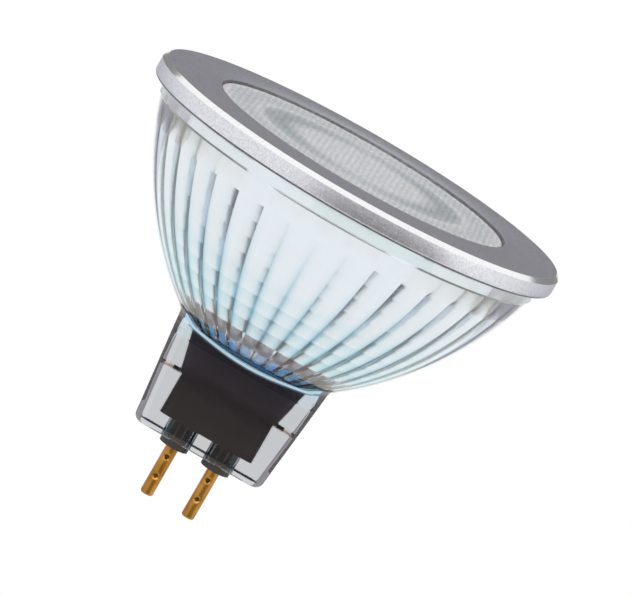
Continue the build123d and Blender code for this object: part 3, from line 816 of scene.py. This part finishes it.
def circle_edges(mesh, radius, z):
    """Edges of a turned mesh that lie on one circle."""
    return [e for e in mesh.edges if all(
        abs(v.co.z - z) < touch and abs(math.hypot(v.co.x, v.co.y) - radius) < touch
        for v in e.verts)]


for radius, z, size, segments in ((ring_radius, ring_high.z, ring_top_bevel, 1),
                                  (ring_radius, ring_low.z, ring_foot_round, 4),
                                  (ring_opening, ring_high.z, ring_break, 2)):
    bmesh.ops.bevel(ring_mesh, geom=circle_edges(ring_mesh, radius, z), offset=size,
                    offset_type="OFFSET", affect="EDGES", segments=segments, profile=0.5,
                    material=-1)
crease(ring_mesh, 30)
ring_metal, nodes, links, surface = shader("blasted_aluminium")
surface.inputs["Metallic"].default_value = 1
blast = noise(nodes, links, 4500, 3)
tone = two_tone(nodes, links, blast, (0.62, 0.62, 0.67), (0.84, 0.84, 0.89))
links.new(tone, surface.inputs["Base Color"])
surface.inputs["Specular Tint"].default_value = (0.55, 0.55, 0.6, 1)
between(nodes, links, blast, 0.25, 0.4, surface.inputs["Roughness"])
relief(nodes, links, surface, blast, 0.02 * MM)
# Bright cut on the top bevel, its paler colour a painted highlight along the edge
bright_cut_and_highlight = mottled("bright_cut_with_painted_highlight", (0.88, 0.88, 0.9), (0.95, 0.95, 0.96),
                     3000, 0.1, 0.22, 0.004 * MM, metallic=1.0)
# Painted shade for the bore and the ring's underside
bore_painted_shade = mottled("bore_and_underside_painted_shade", (0.1, 0.1, 0.11), (0.24, 0.24, 0.26),
                     2500, 0.5, 0.7, 0.01 * MM, metallic=0.8)

# Painted shade in the bore and underneath, a bright cut with a painted highlight on the bevel,
# blasted elsewhere
ring_finishes = (ring_metal, bright_cut_and_highlight, bore_painted_shade)
for face in ring_mesh.faces:
    spot = face.calc_center_median()
    in_bore = math.hypot(spot.x, spot.y) < ring_opening + ring_break and abs(face.normal.z) < 0.95
    if in_bore or face.normal.z < -0.4:
        face.material_index = ring_finishes.index(bore_painted_shade)
    elif 0.3 < face.normal.z < 0.9 and spot.z > plate_under:
        face.material_index = ring_finishes.index(bright_cut_and_highlight)
ring = made_object("turned_trim_ring", ring_mesh, *ring_finishes)
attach(ring, "root")
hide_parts("trim_ring")

# Studio: a pale floor well below the lamp and a white room, with soft lamps above and beside it,
# and cards that only its glass and metal see. The camera looks a little down on the lamp, which is
# photographed leaning to one side.

floor_z = cad_low.z - 230 * MM
floor_size = 3.0


def in_view(nodes, links):
    """1 for rays from the camera, off a shiny face or through glass, else 0."""
    path = nodes.new("ShaderNodeLightPath")
    seen = path.outputs["Is Camera Ray"]
    for kind in ("Is Glossy Ray", "Is Transmission Ray"):
        either = nodes.new("ShaderNodeMath")
        either.operation = "MAXIMUM"
        links.new(seen, either.inputs[0])
        links.new(path.outputs[kind], either.inputs[1])
        seen = either.outputs[0]
    return seen


floor_mesh = bmesh.new()
bmesh.ops.create_grid(floor_mesh, x_segments=1, y_segments=1, size=floor_size)
bmesh.ops.translate(floor_mesh, verts=floor_mesh.verts[:], vec=(0, 0, floor_z))
floor_paint, nodes, links, surface = shader("floor_paint")
surface.inputs["Base Color"].default_value = (0.9, 0.9, 0.9, 1)
surface.inputs["Roughness"].default_value = 0.9
white = nodes.new("ShaderNodeEmission")
mix = nodes.new("ShaderNodeMixShader")
links.new(in_view(nodes, links), mix.inputs["Fac"])
links.new(surface.outputs["BSDF"], mix.inputs[1])
links.new(white.outputs["Emission"], mix.inputs[2])
links.new(mix.outputs["Shader"], nodes["Material Output"].inputs["Surface"])
floor = made_object("floor", floor_mesh, floor_paint)
floor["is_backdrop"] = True

world = bpy.data.worlds.new("white_room")
world.use_nodes = True
bpy.context.scene.world = world
nodes, links = world.node_tree.nodes, world.node_tree.links
room_light, room_white = 0.55, 1.0
room = nodes["Background"]
between(nodes, links, in_view(nodes, links), room_light, room_white, room.inputs["Strength"])
room.inputs["Color"].default_value = (1, 1, 1, 1)

middle = Vector((2.9, 0, 22.6)) * MM


def lamp(name, place, size, power):
    """Square soft lamp that faces the object."""
    light = bpy.data.lights.new(name, "AREA")
    light.size, light.energy = size, power
    made = bpy.data.objects.new(name, light)
    made.location = place
    made.rotation_euler = (middle - Vector(place)).to_track_quat("-Z", "Y").to_euler()
    bpy.context.scene.collection.objects.link(made)
    return made


lamp("key_lamp", (-0.25, -0.5, 0.5), 0.45, 2.6)
lamp("fill_lamp", (0.6, -0.3, 0.2), 0.4, 0.8)
top_lamp = lamp("top_lamp", (0.05, 0.1, 0.6), 0.3, 0.6)
top_lamp.visible_glossy = False


def card(name, place, width, height, tone, colour=(1, 1, 1)):
    """Flat card that faces the object, seen only in its reflections and through its glass."""
    mesh = bmesh.new()
    bmesh.ops.create_grid(mesh, x_segments=1, y_segments=1, size=0.5)
    facing = (middle - Vector(place)).to_track_quat("Z", "Y").to_matrix().to_4x4()
    bmesh.ops.transform(mesh, verts=mesh.verts[:], matrix=Matrix.Translation(place) @ facing
                        @ Matrix.Diagonal((width, height, 1, 1)))
    finish, _, _, surface = shader(name)
    surface.inputs["Base Color"].default_value = (0, 0, 0, 1)
    surface.inputs["Specular IOR Level"].default_value = 0
    surface.inputs["Emission Color"].default_value = (*colour, 1)
    surface.inputs["Emission Strength"].default_value = tone
    made = made_object(name, mesh, finish)
    made.visible_camera = made.visible_diffuse = made.visible_shadow = False
    made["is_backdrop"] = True
    return made


# Grey cards in front and behind darken the ring, lavender ones stand behind the bowl's sides, and
# the near-black ones show only through the glass, in the edges of its flutes
front_card = card("front_card", (0.152, -0.326, -0.1), 0.56, 0.2, 0.2)
front_card.visible_transmission = False
for side in (-1, 1):
    card("rear_card", (side * 0.36, 0.5, -0.3), 0.5, 0.36, 0.55, (0.95, 0.9, 1.0))
    rear_flag = card("rear_flag", (side * 0.36, 0.5, 0.2), 0.5, 0.64, 0.4, (0.95, 0.88, 0.97))
    rear_flag.visible_glossy = False
for place, width, height in (((-0.5, 0.05, 0.2), 0.9, 0.64), ((0.5, 0.05, 0.2), 0.9, 0.64),
                             ((0, -0.6, 0.2), 1.0, 0.6), ((0, 0, 0.6), 1.2, 1.2)):
    flag = card("dark_flag", place, width, height, 0.08, (0.5, 0.9, 1.0))
    flag.visible_glossy = False
back_card = card("back_card", (0, 0.6, 0.2), 1.4, 0.34, 0.25)
back_card.visible_transmission = False
bpy.context.scene.cycles.max_bounces = 24
bpy.context.scene.cycles.glossy_bounces = 8
bpy.context.scene.cycles.transmission_bounces = 20

view_tilt = math.radians(9.3)
view_roll = math.radians(30)
view_distance = 0.8
pixels_per_metre = 8947
image_width = 631
camera_data = bpy.data.cameras.new("camera")
camera_data.sensor_width = 36
camera_data.sensor_fit = "HORIZONTAL"
camera_data.lens = pixels_per_metre * view_distance * camera_data.sensor_width / image_width
camera_data.clip_end = 20
camera = bpy.data.objects.new("camera", camera_data)
sideways = Vector((1, 0, 0))
upward = Vector((0, math.sin(view_tilt), math.cos(view_tilt)))
backward = Vector((0, -math.cos(view_tilt), math.sin(view_tilt)))
image_right = sideways * math.cos(view_roll) + upward * math.sin(view_roll)
image_up = upward * math.cos(view_roll) - sideways * math.sin(view_roll)
turned_view = Matrix((image_right, image_up, backward)).transposed().to_4x4()
camera.matrix_world = Matrix.Translation(middle + backward * view_distance) @ turned_view
bpy.context.scene.collection.objects.link(camera)
bpy.context.scene.camera = camera

bpy.context.scene.view_settings.view_transform = "Standard"
low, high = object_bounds()
